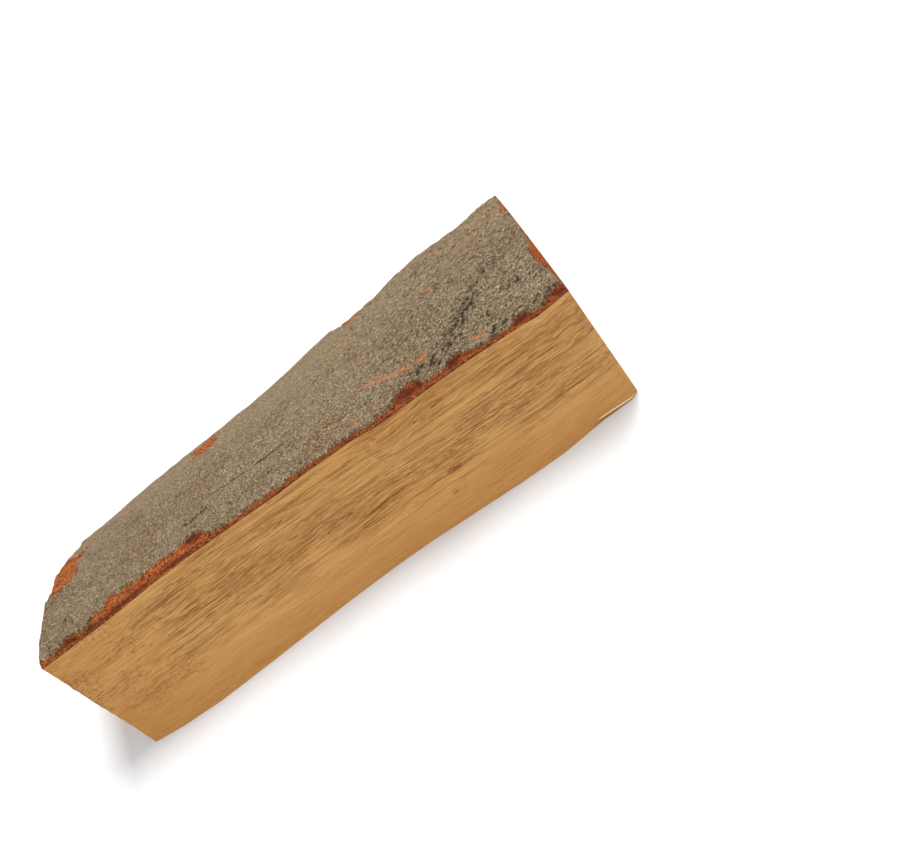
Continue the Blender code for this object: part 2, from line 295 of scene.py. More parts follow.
@dataclass
class Billet:
    """The wood: a section carried from the left end to the right, closed by its two ends."""

    form: LogForm
    rings: int = 380
    front_points: int = 186
    round_points: int = 12
    rest_points: int = 44
    end_rings: int = 10
    grooves: Points = (
        (63, 136, 40, 41.4, 2.6, 1.5), (67, 130, 45.2, 45.9, 2.2, 1.0), (146, 246, 50.2, 58.4, 1.8, 0.9),
    )
    checks: Points = (
        (-1, 50, 54, 62, 1.3), (-1, 64, 68, 56, 1.0), (1, 30, 84, 44, 1.1), (1, 47, 56, 70, 1.5),
        (1, 62, 72, 54, 1.0),
    )
    check_depth: float = 7 * MM
    marks: Points = (
        (90.5, 57, 126.5, 48.2, 0.6, 0.6), (126, 47.4, 170, 45.6, 0.6, 0.7), (165, 45.4, 189, 49.8, 0.7, 0.9),
        (188, 49.8, 209, 47.8, 0.6, 0.7), (152.5, 58, 163, 63.4, 0.6, 0.6), (163.5, 63.7, 173, 60.5, 0.8, 1.0),
        (171.5, 60.9, 226, 62, 0.5, 0.7), (49.5, 51, 84.5, 51.6, 0.8, 0.6), (61, 45.9, 122, 47.5, 0.6, 0.6),
        (144.5, 65.3, 155.5, 68.2, 0.6, 0.9), (129.5, 88.5, 135, 89.1, 0.6, 0.7),
        (135, 89.1, 144, 91.8, 0.7, 0.9), (136.5, 75.4, 143.5, 74.9, 0.7, 0.9),
        (194.5, 72.3, 227.5, 71, 0.6, 0.8), (224.5, 72.9, 236, 69.6, 0.7, 0.9),
        (215.5, 71.7, 255, 71, 0.5, 0.6), (252, 69.6, 284, 61.9, 0.7, 0.8), (239, 66.1, 267, 62.5, 0.8, 0.9),
        (213.5, 64, 240, 66, 0.7, 0.7), (262, 58.8, 287, 54.1, 0.8, 0.7), (258, 83.6, 294, 80.7, 0.6, 0.8),
        (281, 83, 313, 81.8, 0.5, 0.7), (36, 36.1, 47, 36.6, 0.5, 0.8), (45.5, 36.1, 53.5, 30, 0.5, 0.8),
        (261.5, 45.9, 299.5, 42.4, 0.5, 0.5), (225, 91.7, 261, 90.3, 0.5, 0.7), (31, 89.5, 38, 89.3, 0.6, 0.9),
        (72, 80.3, 83.5, 80.6, 0.7, 0.7), (76, 67.4, 84, 65.6, 0.9, 0.7), (73, 101.2, 80, 101.2, 0.5, 0.8),
        (81, 100, 86, 99.6, 0.5, 0.8), (239, 99.3, 243, 99.4, 0.7, 0.9), (227, 97.3, 231, 98.1, 0.6, 0.8),
        (252.5, 70, 262, 73.3, 0.5, 0.7), (276, 92.8, 300, 91, 0.5, 0.7), (160, 12.9, 169, 13.3, 0.4, 0.5),
        (231.5, 18.1, 245, 9.6, 0.4, 0.5), (293, 86.4, 301, 85.4, 0.5, 0.8),
    )
    streak_count: int = 300
    fibre: Grit = field(default_factory=lambda: Grit(101))

    def front_relief(self, along: np.ndarray, across: np.ndarray) -> np.ndarray:
        """Height of the front split face: the solid's warp, grain and grooves, and its torn fibres.

        The fibres are nets stretched along the grain. Terraces, where a net passes a level,
        are the lifted edges of torn layers.

        Args:
            along: place along the log.
            across: place up the face from its foot.

        Returns:
            The heights in metres.
        """
        height = 0.9 * MM * ripples(11, along, across, 260 * MM, 120 * MM)
        height += 0.2 * MM * ripples(12, along, across, 420 * MM, 13 * MM, 9)
        for start, end, low, high, width, depth in self.grooves:
            part_way = (along / MM - start) / (end - start)
            waver = 0.5 * self.fibre.at(along / (9 * MM), np.full_like(along, 5.0))
            centre = low + (high - low) * part_way + waver
            fade = smooth(0.0, 0.15, part_way) * smooth(1.0, 0.85, part_way)
            height -= depth * MM * fade * np.exp(-((across / MM - centre) / width) ** 2)
        strands = self.fibre.layers(along / (70 * MM), across / (2.6 * MM), 3, 0.6)
        terrace = smooth(0.1, 0.22, self.fibre.at(along / (95 * MM) + 7.0, across / (6 * MM)))
        threads = self.fibre.layers(along / (34 * MM) + 40.0, across / (1.3 * MM) + 3.0, 2, 0.6)
        height += 0.02 * MM * strands + 0.02 * MM * threads + 0.11 * MM * terrace
        return height * smooth(0.0, 7 * MM, across) * smooth(112 * MM, 99 * MM, across)

    def rest_relief(self, along: np.ndarray, across: np.ndarray, span: np.ndarray) -> np.ndarray:
        """Hollows of the face that the log lies on: a net of waves where it is high, else flat.

        Args:
            along: place along the log.
            across: place from the foot to the back.
            span: how far apart those two are.

        Returns:
            The heights in metres, none below 0.
        """
        hollow = ripples(21, along, across, 300 * MM, 70 * MM)
        hollow += 0.5 * ripples(22, along, across, 380 * MM, 16 * MM)
        height = np.clip(1.3 * MM * (hollow - 0.35), 0.0, 2.6 * MM)
        strands = self.fibre.layers(along / (70 * MM), across / (2.6 * MM) + 90.0, 2)
        height += 0.16 * MM * np.clip(strands, 0.0, 1.0)
        middle = np.hypot((along - 0.5 * self.form.length) * 0.5, across - 0.5 * span)
        keep_flat = smooth(14 * MM, 34 * MM, middle)
        return height * keep_flat * smooth(0.0, 6 * MM, across) * smooth(0.0, 6 * MM, span - across)

    def section(self, along: np.ndarray, slot: np.ndarray) -> np.ndarray:
        """The section's (y, z) at numbered slots: up the front, over the round side, back below.

        Args:
            along: place along the log.
            slot: number of the place round the section.

        Returns:
            The (y, z) places.
        """
        foot, ridge, back = self.form.corners(along)
        front_share = np.clip(slot / self.front_points, 0.0, 1.0)
        round_share = np.clip((slot - self.front_points) / self.round_points, 0.0, 1.0)
        rest_share = np.clip((slot - self.front_points - self.round_points) / self.rest_points, 0.0, 1.0)
        edge = ridge - foot
        length = np.linalg.norm(edge, axis=-1)
        out = np.stack([-edge[..., 1], edge[..., 0]], axis=-1) / length[..., None]
        front = foot + edge * front_share[..., None]
        front = front + out * self.front_relief(along, front_share * length)[..., None]
        rounded = self.form.round_side(along, round_share, np.zeros_like(along))
        span = back[..., 0] - foot[..., 0]
        across = (1.0 - rest_share) * span
        rest = np.stack([foot[..., 0] + across, self.rest_relief(along, across, span)], axis=-1)
        on_front = (slot <= self.front_points)[..., None]
        on_round = (slot <= self.front_points + self.round_points)[..., None]
        return np.where(on_front, front, np.where(on_round, rounded, rest))

    def grid(self) -> tuple[np.ndarray, np.ndarray, np.ndarray]:
        """Share along the log and reach from the heart for each row, and the slots of a row.

        Rows run from the heart of the left end out to its rim, along the log, and back in
        to the heart of the right end.

        Returns:
            The shares, the reaches and the slots.
        """
        out = np.linspace(0.0, 1.0, self.end_rings + 1)[1:-1]
        share = np.linspace(0.0, 1.0, self.rings)
        q = np.concatenate([np.zeros_like(out), share, np.ones_like(out)])
        reach = np.concatenate([out, np.ones_like(share), out[::-1]])
        slots = np.arange(self.front_points + self.round_points + self.rest_points, dtype=float)
        return q, reach, slots

    def build(self) -> bpy.types.Object:
        """Place the rows, close the ends at their hearts, and cut the drying checks.

        Returns:
            The billet's object.
        """
        q, reach, slots = self.grid()
        q_net, slot_net = np.meshgrid(q, slots, indexing="ij")
        along = self.form.length * q_net
        heart = np.array(self.form.heart)
        for _ in range(4):
            section = self.section(along, slot_net)
            section = heart + (section - heart) * reach[:, None, None]
            along = self.form.place_along(q_net, section)
        body = self.form.to_world(along, section).reshape(-1, 3)
        hearts = np.tile(heart, (2, 1))
        ends = self.form.to_world(self.form.place_along(np.array([0.0, 1.0]), hearts), hearts)
        rows, columns = q_net.shape
        number = np.arange(rows * columns).reshape(rows, columns)
        first = np.stack([np.full(columns, rows * columns), number[0], np.roll(number[0], -1)], axis=-1)
        last = np.stack([np.full(columns, rows * columns + 1), np.roll(number[-1], -1), number[-1]], axis=-1)
        fans = np.vstack([first, last])
        billet = make_object("billet", np.vstack([body, ends]), net_quads(number), fans, WOOD_SHARP)
        self.cut_checks(billet)
        self.draw_marks(billet)
        return billet

    def streaks(self) -> list[tuple[float, ...]]:
        """Seeded thin streaks along the grain, thickest in the middle of the front face.

        Returns:
            The streaks, each laid out as one of the marks.
        """
        rng = np.random.default_rng(77)
        drawn = []
        for _ in range(self.streak_count):
            start = rng.uniform(30.0, 322.0)
            low = rng.uniform(38.0, 108.0) if rng.uniform() < 0.75 else rng.normal(66.0, 12.0)
            length = min(9.0 + rng.exponential(24.0), 110.0)
            rise = rng.normal(0.0, 0.012) - 0.02 * math.cos(start / 52.0)
            strength = rng.uniform(0.25, 0.8)
            drawn.append((start, low, start + length, low + length * rise, rng.uniform(0.22, 0.42), strength))
        return drawn

    def draw_marks(self, billet: bpy.types.Object) -> None:
        """Keep on each vertex how far off the nearest mark it is, in half widths, and that mark's strength.

        The distance keeps its sign, so that it stays exact between vertices.

        Args:
            billet: the billet's object.
        """
        places = np.empty(len(billet.data.vertices) * 3)
        billet.data.vertices.foreach_get("co", places)
        places = places.reshape(-1, 3)
        along = places[:, 0] / MM + 0.5 * self.form.length / MM
        across = places[:, 2] / MM * FACE_PER_HEIGHT
        across = across + 0.7 * self.fibre.layers(along / 11.0, across / 30.0 + 8.0, 2)
        off, force, nearest = np.full_like(along, 9.0), np.zeros_like(along), np.full_like(along, 9.0)
        for start, low, end, high, width, strength in (*self.streaks(), *self.marks):
            share = (along - start) / (end - start)
            gap = across - low - (high - low) * share
            taper = smooth(0.0, 0.2, share) * smooth(1.0, 0.8, share)
            pick = (taper > 0.0) & (np.abs(gap) < nearest)
            nearest[pick] = np.abs(gap[pick])
            off[pick] = gap[pick] / width
            force[pick] = (strength * taper * smooth(2.0, 1.2, np.abs(gap)))[pick]
        front = smooth(0.0, -15.0, places[:, 1] / MM)
        set_attribute(billet, "mark_off", off)
        set_attribute(billet, "mark_force", force * front)

    def check_cutter(self, number: int, side: float, angle: float, start: float, length: float,
                     width: float) -> bpy.types.Object:
        """One check as a closed wedge: widest a third of the way out, wavering, thinner with depth.

        Args:
            number: tells the cutters apart.
            side: -1 for the left end, 1 for the right.
            angle: heading from the pith in degrees.
            start: distance of its near tip from the pith in millimetres.
            length: its length in millimetres.
            width: its greatest width in millimetres.

        Returns:
            The cutter's object.
        """
        u = np.linspace(0.0, 1.0, 40)
        waver = 0.45 * MM * self.fibre.layers(u * length / 9.0 + 31.0 * number, np.full_like(u, 3.5), 2)
        half = 0.5 * width * MM * np.clip(np.sin(math.pi * u ** 0.7), 0.02, 1.0)
        heading = math.radians(angle)
        ray = np.array([math.cos(heading), math.sin(heading)])
        beside = np.array([-ray[1], ray[0]])
        middle = np.array(self.form.pith) + np.outer((start + u * length) * MM, ray) + waver[:, None] * beside
        depth = self.check_depth * (0.35 + 0.65 * np.sin(math.pi * u))
        face = 0.5 * self.form.length + side * 0.5 * self.form.length
        corners = []
        for sign, inward, share in ((-1, False, 1.0), (1, False, 1.0), (1, True, 0.12), (-1, True, 0.12)):
            place = middle + sign * (half * share)[:, None] * beside
            along = face - side * depth if inward else np.full_like(u, face + side * self.check_depth)
            corners.append(self.form.to_world(along, place))
        body = np.stack(corners, axis=1).reshape(-1, 3)
        ring = np.arange(len(body)).reshape(-1, 4)
        tips = np.stack([ring[0], ring[-1][::-1]])
        quads = np.vstack([net_quads(ring), tips])
        return make_object(f"check_cutter_{number}", body, quads, np.zeros((0, 3), dtype=int), WOOD_SHARP)

    def cut_checks(self, billet: bpy.types.Object) -> None:
        """Cut the drying checks out of the sawn ends, and keep only the cut mesh.

        Args:
            billet: the billet's object.
        """
        cutters = [self.check_cutter(number, *check) for number, check in enumerate(self.checks)]
        for cutter in cutters:
            cut = billet.modifiers.new(cutter.name, "BOOLEAN")
            cut.operation = "DIFFERENCE"
            cut.solver = "MANIFOLD"
            cut.object = cutter
        graph = bpy.context.evaluated_depsgraph_get()
        mesh = bpy.data.meshes.new_from_object(billet.evaluated_get(graph))
        billet.modifiers.clear()
        billet.data = mesh
        shade(mesh, WOOD_SHARP)
        for cutter in cutters:
            bpy.data.objects.remove(cutter, do_unlink=True)


@dataclass
class BarkLayer:
    """The bark: a layer over the round side, thin where it is torn, with a rough skin."""

    form: LogForm
    rings: int = 480
    columns: int = 170
    rim_columns: int = 6
    inner_columns: int = 12
    edge_pull: float = 0.08
    sharp_degrees: float = 60.0
    torn_band: Points = (
        (0, 1), (7, 0.6), (11, 1.2), (17.5, 3.3), (19, 6), (24, 3.8), (29.5, 2.1), (34, 2.7), (39.5, 5.4),
        (44.5, 5.4), (47.5, 9.6), (50.5, 9.8), (56.5, 6.5), (61, 8.1), (67, 6.5), (73.5, 7.5), (80.5, 6.5),
        (94.5, 7), (98.5, 9.2), (103, 11.4), (108.5, 6.5), (114, 0.8), (222, 0.8), (228, 4.8), (231.5, 7.5),
        (235, 8.1), (239.5, 7.3), (244, 4.1), (248.5, 1.1), (255, 1.2), (259, 1.6), (261, 5.6), (265.5, 5.8),
        (271.5, 2.5), (278, 1.2), (288, 0.6), (297.5, 0.8), (300.5, 4.2), (303.5, 6), (308, 2.8), (315, 0.8),
        (322, 3.2), (326, 4.8), (330, 4.6),
    )
    back_chips: Points = (
        (0, 3), (30, 4), (42, 17), (56, 16), (70, 5), (120, 3), (141, 9), (150, 4), (210, 3), (216, 22),
        (222, 34), (228, 36), (233, 26), (238, 4), (258, 3), (262, 8), (267, 16), (275, 20), (285, 14),
        (291, 5), (316, 3), (330, 5),
    )
    left_chip: Points = (
        (0, 1), (38, 2), (41, 14), (42.3, 22), (44.6, 29), (49.2, 33.5), (52, 36), (64.4, 35), (68.1, 38),
        (74.5, 40), (84, 4), (138, 3),
    )
    right_chip: Points = (
        (0, 0.2), (10, 0.6), (16.6, 2), (22, 3.4), (28, 4.4), (35.4, 4.4), (40.5, 1.6), (48, 1), (60, 0.5),
        (73, 0.2), (83, 1), (88, 3), (96, 3.2), (101, 1), (120, 0.4), (138, 0.3),
    )
    flakes: Points = ((122.5, 92, 9.5, 18),)
    scuffs: Points = (
        (218.5, 24.4, 244, 15.6, 1.0), (248.5, 15.6, 252.5, 16.4, 1.2), (221, 48.8, 224.5, 47.8, 1.0),
        (204, 7.8, 205.5, 4.2, 0.7), (269, 63, 273, 61, 1.1), (278, 6.4, 282, 5.5, 1.1),
    )
    # Creases: start, its arc, end, its arc and half width. They deepen the relief and get painted shade.
    creases: Points = (
        (262, 14, 280, 23.5, 4.6), (280, 23.5, 292, 39.5, 3.0), (292, 39.5, 304, 47, 2.4),
        (301, 47, 305, 57, 1.8), (284, 54.7, 290, 54.7, 1.5), (306, 24.4, 314, 21.5, 2.8),
        (243, 10.6, 255, 8.3, 3.6), (288, 3.7, 295, 3.2, 2.2), (285, 22, 291, 12, 2.0), (322, 4, 329, 6, 2.0),
        (270, 90, 275, 107, 2.0), (102, 16, 116, 18.4, 0.9), (20.5, 18.4, 26.5, 12.9, 2.2),
        (12.5, 4.1, 15, 6.9, 1.8),
    )
    # Recesses of the torn band: along, arc, half length and half width. They are lowered and darkened with
    # painted shade.
    recesses: Points = (
        (236, 4.0, 11, 3.4), (263, 3.4, 5, 2.8), (303, 2.4, 6, 3.0), (20, 3.0, 7, 2.6), (103, 7.0, 5, 3.0),
        (52, 1.5, 30, 1.6), (90, 1.2, 20, 1.5), (326, 2.0, 5, 2.4),
    )
    grit: Grit = field(default_factory=lambda: Grit(202))

    def skin(self, along: np.ndarray, arc: np.ndarray, left: np.ndarray, right: np.ndarray) -> np.ndarray:
        """1 where the outer skin is on, 0 where it is torn or flaked off: soft steps with ragged edges.

        Args:
            along: place along the log.
            arc: place over the bark from the ridge.
            left: distance from the left end of the bark.
            right: distance from its right end.

        Returns:
            The mask, in the shape of the places.
        """
        rag = 1.1 * MM * self.grit.layers(along / (6 * MM), arc / (6 * MM), 4, 0.62)
        torn = outline(self.torn_band, along)
        chips = outline(self.back_chips, along)
        keep = 0.75 + 0.25 * smooth(0.5 * MM, 3 * MM, torn)
        on = smooth(-0.3 * MM, 0.3 * MM, arc - 0.85 * torn + rag * keep)
        on *= smooth(-0.5 * MM, 0.5 * MM, self.form.bark_arc - arc - 0.85 * chips + 2.4 * rag)
        on *= smooth(-0.4 * MM, 0.4 * MM, along - outline(self.left_chip, arc) + rag)
        on *= smooth(0.9 * MM, 1.6 * MM, left + 0.5 * rag)
        on *= smooth(-0.3 * MM, 0.3 * MM, right - outline(self.right_chip, arc) + 0.5 * rag)
        for centre_along, centre_arc, half_length, half_width in self.flakes:
            far = np.hypot((along / MM - centre_along) / half_length, (arc / MM - centre_arc) / half_width)
            on *= smooth(0.82, 0.98, far + 0.25 * rag / MM)
        return on

    def near_lines(self, lines: Points, along: np.ndarray, arc: np.ndarray) -> np.ndarray:
        """1 on the listed lines, falling away to 0 at their half widths' double: a bell over the distance.

        Args:
            lines: start, its arc, end, its arc and half width, in millimetres.
            along: place along the log.
            arc: place over the bark from the ridge.

        Returns:
            The mask, in the shape of the places.
        """
        near = np.zeros_like(along)
        for start, low, end, high, width in lines:
            step_along, step_arc = end - start, high - low
            share = (along / MM - start) * step_along + (arc / MM - low) * step_arc
            share = np.clip(share / (step_along ** 2 + step_arc ** 2), 0.0, 1.0)
            far = np.hypot(along / MM - start - share * step_along, arc / MM - low - share * step_arc)
            near = np.maximum(near, np.exp(-(far / width) ** 2))
        return near

    def spots(self, along: np.ndarray, arc: np.ndarray) -> np.ndarray:
        """1 in the middle of the recesses of the torn band, which get painted shade, falling away as a bell.

        Args:
            along: place along the log.
            arc: place over the bark from the ridge.

        Returns:
            The mask, in the shape of the places.
        """
        near = np.zeros_like(along)
        for centre_along, centre_arc, half_length, half_width in self.recesses:
            far = ((along / MM - centre_along) / half_length) ** 2 + ((arc / MM - centre_arc) / half_width) ** 2
            near = np.maximum(near, np.exp(-far))
        return near

    def relief(self, along: np.ndarray, arc: np.ndarray, left: np.ndarray,
               right: np.ndarray) -> tuple[np.ndarray, np.ndarray, np.ndarray, np.ndarray]:
        """Height of the bark over the wood, with the masks that its finish reads.

        The skin carries the solid's plates, roughness and fissures, a net of fibres that
        are drawn out along the log, and pits where a net passes a level, deep in the
        creases. The torn band slopes up from the ridge to the skin and carries coarse grains.

        Args:
            along: place along the log.
            arc: place over the bark from the ridge.
            left: distance from the left end of the bark.
            right: distance from its right end.

        Returns:
            Height, skin mask, hollow mask and scuff mask; the hollow mask is painted shade.
        """
        skin = self.skin(along, arc, left, right)
        rub = self.grit.layers(along / (1.6 * MM), arc / (1.2 * MM), 3, 0.7)
        scuff = smooth(0.25, 0.6, self.near_lines(self.scuffs, along, arc) + 0.25 * rub) * skin
        plates = 0.35 * MM * ripples(31, along, arc, 120 * MM, 60 * MM, 8)
        lumps = 0.25 * MM * ripples(32, along, arc, 34 * MM, 17 * MM, 9)
        fissures = smooth(0.9, 1.7, ripples(33, along, arc, 70 * MM, 15 * MM, 7))
        crease = self.near_lines(self.creases, along, arc)
        rough = 0.3 + 0.6 * smooth(190 * MM, 285 * MM, along) + 0.7 * crease
        run, beside = along + FIBRE_SKEW * arc, arc - FIBRE_SKEW * along
        fibres = self.grit.layers(run / (5.0 * MM), beside / (1.7 * MM), 3, 0.7)
        knobs = self.grit.layers(run / (8 * MM) + 11.0, beside / (4.5 * MM), 2, 0.6)
        slant, over = along + 0.8 * arc, arc - 0.8 * along
        pits = self.grit.layers(slant / (4.6 * MM) + 60.0, over / (1.9 * MM), 3, 0.7)
        pits = smooth(0.8 - 0.62 * crease, 1.35 - 0.6 * crease, pits) * np.minimum(0.7 * rough + crease, 1.0)
        grains = self.grit.layers(along / (1.9 * MM), arc / (1.5 * MM) + 77.0, 2, 0.8)
        chunks = self.grit.layers(along / (5 * MM) + 13.0, arc / (3.2 * MM) + 19.0, 2, 0.6)
        recess = self.spots(along, arc)
        skin_height = plates + lumps - 0.3 * MM * fissures + rough * MM * (0.36 * fibres + 0.3 * knobs)
        skin_height = skin_height - 1.1 * MM * pits - 0.3 * MM * scuff - 0.3 * MM * crease
        full = self.form.bark_thick - self.form.torn_thick + skin_height
        rise = 1.3 * MM * smooth(0.0, 6 * MM, arc) - 0.4 * MM + 1.3 * MM * smooth(66 * MM, 92 * MM, arc)
        torn_height = (rise + 0.34 * MM * grains + 0.45 * MM * chunks - 0.8 * MM * recess) * (1.0 - skin)
        height = self.form.torn_thick + full * skin + torn_height
        # Painted shade: the hollow mask darkens the pits, creases and fissures of the skin, and the recesses
        # and low grains of the torn band.
        hollow = np.clip(pits + 0.3 * crease * smooth(-0.4, 0.3, -fibres) + 0.15 * fissures, 0.0, 0.9) * skin
        hollow = hollow + np.clip(recess + 0.4 * smooth(0.2, 0.9, -grains), 0.0, 1.0) * (1.0 - skin)
        return np.maximum(height, 0.5 * MM), skin, hollow, scuff

    def build(self) -> bpy.types.Object:
        """Carry a closed loop along the log: over the skin, down the back rim, inside, up the front rim.

        Returns:
            The bark's object.
        """
        skin_share = np.linspace(0.0, 1.0, self.columns)
        skin_share = skin_share - self.edge_pull * np.sin(math.tau * skin_share)
        inner_share = np.linspace(1.0, 0.0, self.inner_columns)
        climb = np.linspace(0.0, 1.0, self.rim_columns + 2)[1:-1]
        share = np.concatenate([skin_share, np.ones_like(climb), inner_share, np.zeros_like(climb)])
        level = np.concatenate([np.ones_like(skin_share), climb[::-1], np.zeros_like(inner_share), climb])
        places, masks = self.loop(np.linspace(0.0, 1.0, self.rings), share, level)
        number = np.arange(places.shape[0] * places.shape[1]).reshape(places.shape[:2])
        left = self.end_cap(number[0], share)
        right = self.end_cap(number[-1], share)[:, ::-1]
        bark = make_object("bark_layer", places.reshape(-1, 3), net_quads(number), np.vstack([left, right]),
                           self.sharp_degrees)
        for name, values in masks.items():
            set_attribute(bark, name, values)
        return bark

    def loop(self, q: np.ndarray, share: np.ndarray,
             level: np.ndarray) -> tuple[np.ndarray, dict[str, np.ndarray]]:
        """Places and masks of the loop at all stations.

        Args:
            q: share of the way along the log.
            share: share of the way from the ridge to the back, a slot each.
            level: 1 on the skin, 0 inside, and between them on the rims.

        Returns:
            The places as rows of stations, and the masks by name.
        """
        q_net, share_net = np.meshgrid(q, share, indexing="ij")
        level_net = np.broadcast_to(level, q_net.shape)
        along = self.form.length * q_net
        on_rim = np.sin(math.pi * level_net)
        side = np.where(share_net < 0.5, -1.0, 1.0)
        for _ in range(3):
            arc = self.form.bark_arc * share_net
            left, right = self.form.length * q_net, self.form.length * (1.0 - q_net)
            height, skin, hollow, scuff = self.relief(along, arc, left, right)
            bulge = self.grit.layers(along / (2.2 * MM), level_net * height / (1.6 * MM) + 50.0 * side, 3, 0.7)
            push = (0.4 * MM * bulge + 0.15 * MM) * on_rim / self.form.bark_arc
            section = self.form.round_side(along, share_net + side * push, self.form.gap + height * level_net)
            section[..., 1] = np.maximum(section[..., 1], 0.05 * MM)
            along = self.form.place_along(q_net, section)
        top = smooth(0.8, 1.0, level_net)
        # Painted shade on the rims: somewhat darker all over, darker where a rim is pushed in, and darkest at
        # its foot, in the gap beside the wood.
        foot = 0.4 * smooth(0.35, 0.0, level_net)
        hollow = np.where(on_rim > 1e-6, np.clip(0.2 - 0.8 * bulge + 0.5 * hollow + foot, 0.0, 1.0), hollow)
        masks = {"skin": skin * top, "hollow": hollow, "scuff": scuff * top, "arc": arc}
        return self.form.to_world(along, section), masks

    def end_cap(self, ring: np.ndarray, share: np.ndarray) -> np.ndarray:
        """Triangles over one end of the loop: each step of the outer chain meets its nearest inner vertex.

        Args:
            ring: vertex numbers round the loop.
            share: share of the way from the ridge to the back at each.

        Returns:
            Rows of three vertex numbers.
        """
        inner_start = self.columns + self.rim_columns
        inner_end = inner_start + self.inner_columns
        few = ring[inner_start:inner_end][::-1]
        order = np.concatenate([np.arange(inner_end, len(ring)), np.arange(inner_start)])
        many = ring[order]
        nearest = np.round(np.clip(share[order], 0.0, 1.0) * (len(few) - 1)).astype(int)
        fans = np.stack([many[:-1], many[1:], few[nearest[:-1]]], axis=-1)
        steps = np.nonzero(np.diff(nearest))[0]
        fills = np.stack([many[steps + 1], few[nearest[steps + 1]], few[nearest[steps]]], axis=-1)
        return np.vstack([fans, fills])


class Value:
    """A number in a material: a node's output that Python's operators work on."""

    def __init__(self, sheet: "Sheet", socket: bpy.types.NodeSocket) -> None:
        """Wrap an output socket of a sheet of nodes."""
        self.sheet = sheet
        self.socket = socket

    def _math(self, operation: str, *others: "Value | float") -> "Value":
        """Add a Math node that works on this value and others, in that order."""
        return self.sheet.add("ShaderNodeMath", {"operation": operation}, dict(enumerate((self, *others))))

    def __add__(self, other: "Value | float") -> "Value":
        """This plus another."""
        return self._math("ADD", other)

    def __sub__(self, other: "Value | float") -> "Value":
        """This less another."""
        return self._math("SUBTRACT", other)

    def __rsub__(self, other: float) -> "Value":
        """Another less this."""
        return self.sheet.add("ShaderNodeMath", {"operation": "SUBTRACT"}, {0: other, 1: self})

    def __mul__(self, other: "Value | float") -> "Value":
        """This times another."""
        return self._math("MULTIPLY", other)

    def __pow__(self, other: "Value | float") -> "Value":
        """This to a power."""
        return self._math("POWER", other)

    __radd__ = __add__
    __rmul__ = __mul__

    def most(self, other: "Value | float") -> "Value":
        """The greater of this and another."""
        return self._math("MAXIMUM", other)

    def wave(self) -> "Value":
        """The sine of this."""
        return self._math("SINE")

    def size(self) -> "Value":
        """This without its sign."""
        return self._math("ABSOLUTE")

    def ease(self, low: float, high: float) -> "Value":
        """Ease from 0 at low to 1 at high, or down where low is above high.

        Args:
            low: value where the ease starts.
            high: value where it ends.

        Returns:
            The eased value.
        """
        if low > high:
            return 1.0 - self.ease(high, low)
        values = {"Value": self, "From Min": low, "From Max": high}
        return self.sheet.add("ShaderNodeMapRange", {"interpolation_type": "SMOOTHSTEP"}, values)


